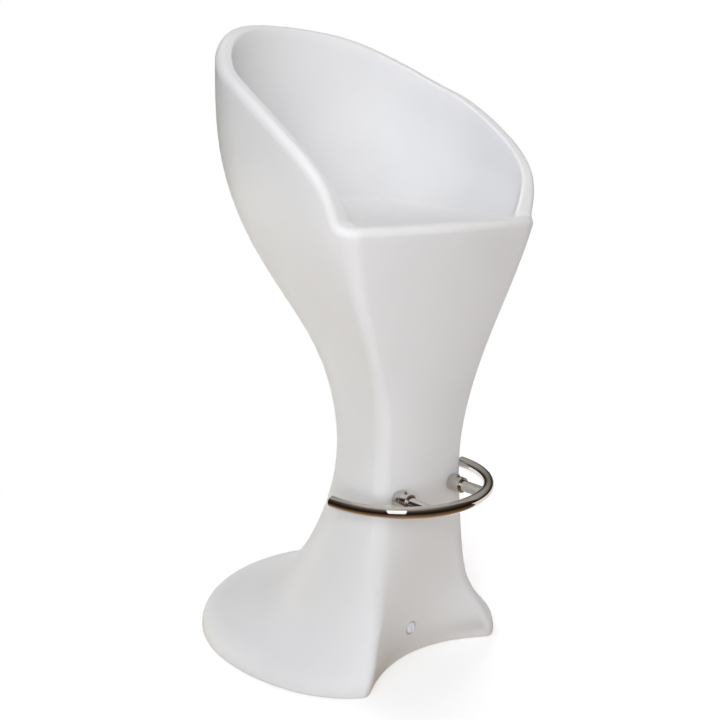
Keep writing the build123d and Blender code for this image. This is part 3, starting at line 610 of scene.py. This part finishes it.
# %% A world that is white to the viewer and nearly dark to the stool
world_for_viewer = 1.0
world_for_stool = 0.02
world = bpy.data.worlds.new("studio")
bpy.context.scene.world = world
world.use_nodes = True
world_tree = world.node_tree
background = world_tree.nodes["Background"]
background.inputs["Color"].default_value = (1, 1, 1, 1)
strength = world_tree.nodes.new("ShaderNodeMapRange")
strength.inputs["To Min"].default_value = world_for_stool
strength.inputs["To Max"].default_value = world_for_viewer
world_tree.links.new(seen_by_viewer(world_tree), strength.inputs["Value"])
world_tree.links.new(strength.outputs["Result"], background.inputs["Strength"])
print("world", world_for_viewer, "to the viewer and", world_for_stool, "to the stool")

# %% [markdown]
# ## What the chrome mirrors
#
# Chrome has hardly any colour of its own. In the photograph the ring is nearly black
# along its middle, tan along its lower edge and bright at one spot, because it mirrors
# a dark room in front of the stool, a brown floor and one tall light beside the camera.
# A mirror in an all-white studio would look like white plastic. So cards stand in for
# that room, as a photographer's dark flags do. Only glossy rays see them, so they cast
# no shadow, take no light away and never show behind the stool. Each is coloured along
# a ramp.

# %% A card that only reflections see


def card(name, vertices, faces, ramp_stops, ramp_driver):
    """A stage piece for glossy rays alone. The driver gives a place on its ramp."""
    mesh = bpy.data.meshes.new(name)
    mesh.from_pydata(vertices, [], faces)
    piece = bpy.data.objects.new(name, mesh)
    bpy.context.collection.objects.link(piece)
    piece.visible_camera = False
    piece.visible_diffuse = False
    piece.visible_transmission = False
    piece.visible_shadow = False

    material, tree, surface = empty_material(name + "_tone")
    ramp = tree.nodes.new("ShaderNodeValToRGB")
    stops = ramp.color_ramp.elements
    while len(stops) < len(ramp_stops):
        stops.new(0.5)
    for stop, (position, colour) in zip(stops, ramp_stops):
        stop.position = position
        stop.color = (*colour, 1)
    emission = tree.nodes.new("ShaderNodeEmission")
    tree.links.new(ramp_driver(tree), ramp.inputs["Fac"])
    tree.links.new(ramp.outputs["Color"], emission.inputs["Color"])
    tree.links.new(emission.outputs["Emission"], surface.inputs["Surface"])
    mesh.materials.append(material)
    print(name, "spans", [round(side, 2) for side in piece.dimensions])


print("cards are ready")

# %% [markdown]
# ## The brown floor
#
# Under and in front of the stool the mirrored floor is tan, and it gets darker with the
# distance. On the right, the lower edge of the ring is pale, so there the card ends and
# the white floor shows. The card is a fan of triangles about the origin. Headings run
# from +X towards +Y, in degrees.

# %% A brown fan on the floor, tan near the stool
fan_radius = 6.0
fan_height = 0.002
fan_start = -230
fan_end = -45
fan_steps = 37


def share_of_fan(tree):
    """Zero at the middle of the fan and one at its rim."""
    return times(tree, distance_from_stool(tree), 1 / fan_radius)


fan_points = [(0, 0, fan_height)]
for step in range(fan_steps + 1):
    heading = radians(fan_start + (fan_end - fan_start) * step / fan_steps)
    across = fan_radius * cos(heading)
    along = fan_radius * sin(heading)
    fan_points.append((across, along, fan_height))
fan_faces = [(0, step, step + 1) for step in range(1, fan_steps + 1)]
brown_stops = [
    (0.04, (0.52, 0.38, 0.24)),
    (0.085, (0.20, 0.12, 0.06)),
    (0.17, (0.06, 0.03, 0.012)),
    (0.5, (0.022, 0.013, 0.006)),
]
card("brown_floor_card", fan_points, fan_faces, brown_stops, share_of_fan)

# %% [markdown]
# ## The dark room
#
# In front of the stool and on its left the room is dark up to a pale ceiling. On the
# right and behind, it is dark only low down. Both are parts of one dome about the
# origin, coloured by height. A sphere with a picture of a room on it would do the same,
# but two ramps are enough for a tube this thin.

# %% Two parts of a dome, dark in front and dim on the right
dome_radius = 6.0
dome_rows = 12
dome_step = 7.5


def sine_of_elevation(tree):
    """Zero on the floor and one straight above, for a dome about the origin."""
    place = tree.nodes.new("ShaderNodeTexCoord")
    split = tree.nodes.new("ShaderNodeSeparateXYZ")
    tree.links.new(place.outputs["Object"], split.inputs["Vector"])
    return times(tree, split.outputs["Z"], 1 / dome_radius)


def dome_part(name, start, end, ramp_stops):
    """The part of the dome between two headings, in degrees."""
    columns = round((end - start) / dome_step)
    points = []
    for row in range(dome_rows + 1):
        climb = quarter_turn * row / dome_rows
        reach = dome_radius * cos(climb)
        height = dome_radius * sin(climb)
        for column in range(columns + 1):
            heading = radians(start + (end - start) * column / columns)
            points.append((reach * cos(heading), reach * sin(heading), height))
    faces = []
    for row in range(dome_rows):
        for column in range(columns):
            low = row * (columns + 1) + column
            high = low + columns + 1
            faces.append((low, low + 1, high + 1, high))
    card(name, points, faces, ramp_stops, sine_of_elevation)


dark_stops = [
    (0.0, (0.018, 0.012, 0.007)),
    (0.25, (0.02, 0.015, 0.01)),
    (0.5, (0.05, 0.045, 0.04)),
    (0.75, (0.10, 0.09, 0.08)),
    (0.9, (0.3, 0.28, 0.26)),
    (1.0, (0.55, 0.53, 0.51)),
]
dome_part("dark_room_dome", -240, -30, dark_stops)

dim_stops = [
    (0.0, (0.02, 0.016, 0.013)),
    (0.25, (0.04, 0.035, 0.03)),
    (0.34, (0.18, 0.165, 0.15)),
    (0.5, (0.36, 0.345, 0.33)),
    (1.0, (0.55, 0.53, 0.51)),
]
dome_part("dim_room_dome", -30, 120, dim_stops)

# %% [markdown]
# ## The lamps
#
# The light is soft and comes from all round, with more of it from the left of the
# camera. The left side of the body is a trace bluer and its right side darker and
# warmer, and the tints follow that. One big lamp or a bright world would be simpler,
# but neither gives the body's own slow changes of tone. Here each lamp was lit by
# itself, its tones on the body were compared with the photograph, and the powers found
# from that were trimmed. The lamp at the back right is for the side that the
# photograph doesn't show. Only the tall window lamp may be seen in the chrome, where it
# makes the one bright spot.

# %% Ten soft lamps that look at the middle of the stool
stool_middle = Vector((0, 0, 0.55))


def soft_lamp(name, place, size, power, tint, mirrored=False):
    """An area lamp at a place, so wide and high in metres, with its power in watts."""
    data = bpy.data.lights.new(name, "AREA")
    data.shape = "RECTANGLE"
    data.size, data.size_y = size
    data.energy = power
    data.color = tint
    lamp = bpy.data.objects.new(name, data)
    bpy.context.collection.objects.link(lamp)
    aim = stool_middle - Vector(place)
    lamp.location = place
    lamp.rotation_euler = aim.to_track_quat("-Z", "Y").to_euler()
    lamp.visible_camera = False
    lamp.visible_glossy = mirrored
    print(name, power, "W")


tall = (0.8, 2.6)
small = (0.8, 0.8)
middling = (1.0, 1.0)
large = (1.2, 1.2)
huge = (1.8, 1.8)
soft_lamp("window_lamp", (-1.37, -1.43, 1.6), tall, 9.5, (0.88, 0.94, 1), mirrored=True)
soft_lamp("front_left_lamp", (-2.2, -2.2, 1.8), large, 31, (1, 0.98, 0.97))
soft_lamp("low_left_lamp", (-1.6, -2.2, 0.5), middling, 25, (0.97, 0.98, 1))
soft_lamp("left_lamp", (-3.0, 0.0, 1.6), large, 6, (0.65, 0.77, 1))
soft_lamp("right_front_lamp", (1.6, -2.6, 1.4), large, 8, (1, 0.92, 0.88))
soft_lamp("right_lamp", (2.8, -0.6, 1.4), large, 6, (1, 0.98, 0.92))
soft_lamp("top_lamp", (0.0, -0.4, 3.2), huge, 26, (1, 0.98, 0.96))
soft_lamp("back_lamp", (0.6, 2.4, 2.6), huge, 33, (0.93, 0.90, 1))
soft_lamp("low_back_lamp", (-0.8, 1.2, 0.1), small, 14, (1, 0.98, 0.85))
soft_lamp("back_right_lamp", (2.6, 1.6, 1.3), large, 30, (1, 0.98, 0.96))

# %% [markdown]
# ## The end
#
# The Standard view shows colours as they are written.

# %% Finish with the Standard view
bpy.context.scene.view_settings.view_transform = "Standard"
